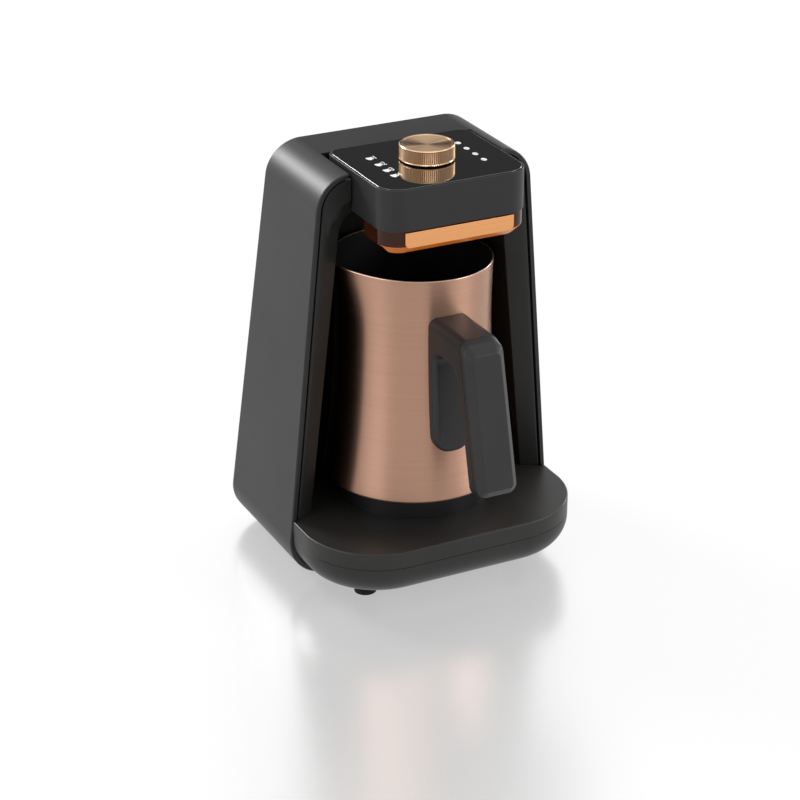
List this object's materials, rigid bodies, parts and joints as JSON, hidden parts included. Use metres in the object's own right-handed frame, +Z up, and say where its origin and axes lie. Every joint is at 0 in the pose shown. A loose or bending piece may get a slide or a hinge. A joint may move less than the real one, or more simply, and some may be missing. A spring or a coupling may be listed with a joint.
{
  "type": "electric turkish coffee maker",
  "caption": "Free-standing electric Turkish coffee maker: a pot with a spout stands on a hot plate under a control head with a knob that turns and presses.",
  "frame": {"origin": "on the surface it stands on, under the middle of the box round the whole machine with its pot in place", "axes": "+Z up, -Y to the front where the handle points, +X to the right seen from the front"},
  "size_m": [0.1658, 0.1818, 0.2538],
  "materials": {
    "shell_black": "satin black moulded ABS",
    "handle_black": "satin black phenolic",
    "foot_rubber": "matt black rubber",
    "panel_glass": null,
    "copper_satin": "satin copper-coloured coating on metal",
    "copper_spun": "copper-coloured anodised aluminium, spun",
    "amber": "clear amber acrylic",
    "hot_plate": "black non-stick coating on aluminium",
    "steel": "bright steel",
    "inner_white": "white ceramic or nylon",
    "inner_dark": "dark component case",
    "board_green": "green circuit board",
    "lead_grey": "grey insulation"
  },
  "bodies": {
    "machine": {"alcove_housing": "shell_black", "band_lamps": "inner_dark", "band_plate": "copper_satin", "base_pan": "shell_black", "base_screws": "steel", "base_tray": "shell_black", "board_screws": "steel", "buzzer": "inner_dark", "control_board": "board_green", "cord_gland": "shell_black", "encoder_body": "inner_dark", "filter_capacitor": "inner_dark", "front_foot_left": "foot_rubber", "front_foot_right": "foot_rubber", "glass_panel": "panel_glass", "head_bottom_cover": "shell_black", "head_housing": "shell_black", "heat_shield": "steel", "heater_leads": "lead_grey", "heating_element": "steel", "heating_plate": "hot_plate", "light_band": "amber", "light_guides": "inner_white", "outer_shell": "shell_black", "plate_collar": "shell_black", "power_board": "board_green", "power_screws": "steel", "press_dome": "steel", "rear_cover": "shell_black", "rear_foot_left": "foot_rubber", "rear_foot_right": "foot_rubber", "relay": "inner_dark", "ribbon_cable": "lead_grey", "sensor_board": "board_green", "sensor_window": "inner_dark", "temperature_sensor": "inner_white", "terminal_block": "inner_white", "thermal_fuse": "inner_white", "thermostat": "inner_white", "thermostat_bracket": "steel", "transformer": "inner_dark"},
    "rotor": {"encoder_rotor": "inner_white"},
    "knob": {"encoder_shaft": "steel", "knob_core": "inner_white", "knob_cap": "copper_spun"},
    "pot": {"pot_body": "copper_satin", "handle_body": "handle_black", "grip_cover": "handle_black", "handle_bracket": "steel", "handle_screw": "steel"}
  },
  "joints": [
    {"name": "pot_pull_out", "type": "slide", "parent": "machine", "child": "pot", "axis": [0, -1, 0], "range_m": [0, 0.16]},
    {"name": "knob_turn", "type": "hinge", "parent": "machine", "child": "rotor", "pos_m": [0, -0.0019, 0.236], "axis": [0, 0, 1], "continuous": true},
    {"name": "knob_press", "type": "slide", "parent": "rotor", "child": "knob", "axis": [0, 0, -1], "range_m": [0, 0.0006], "stiffness_N_per_m": 6000, "deforming": ["press_dome"]}
  ]
}
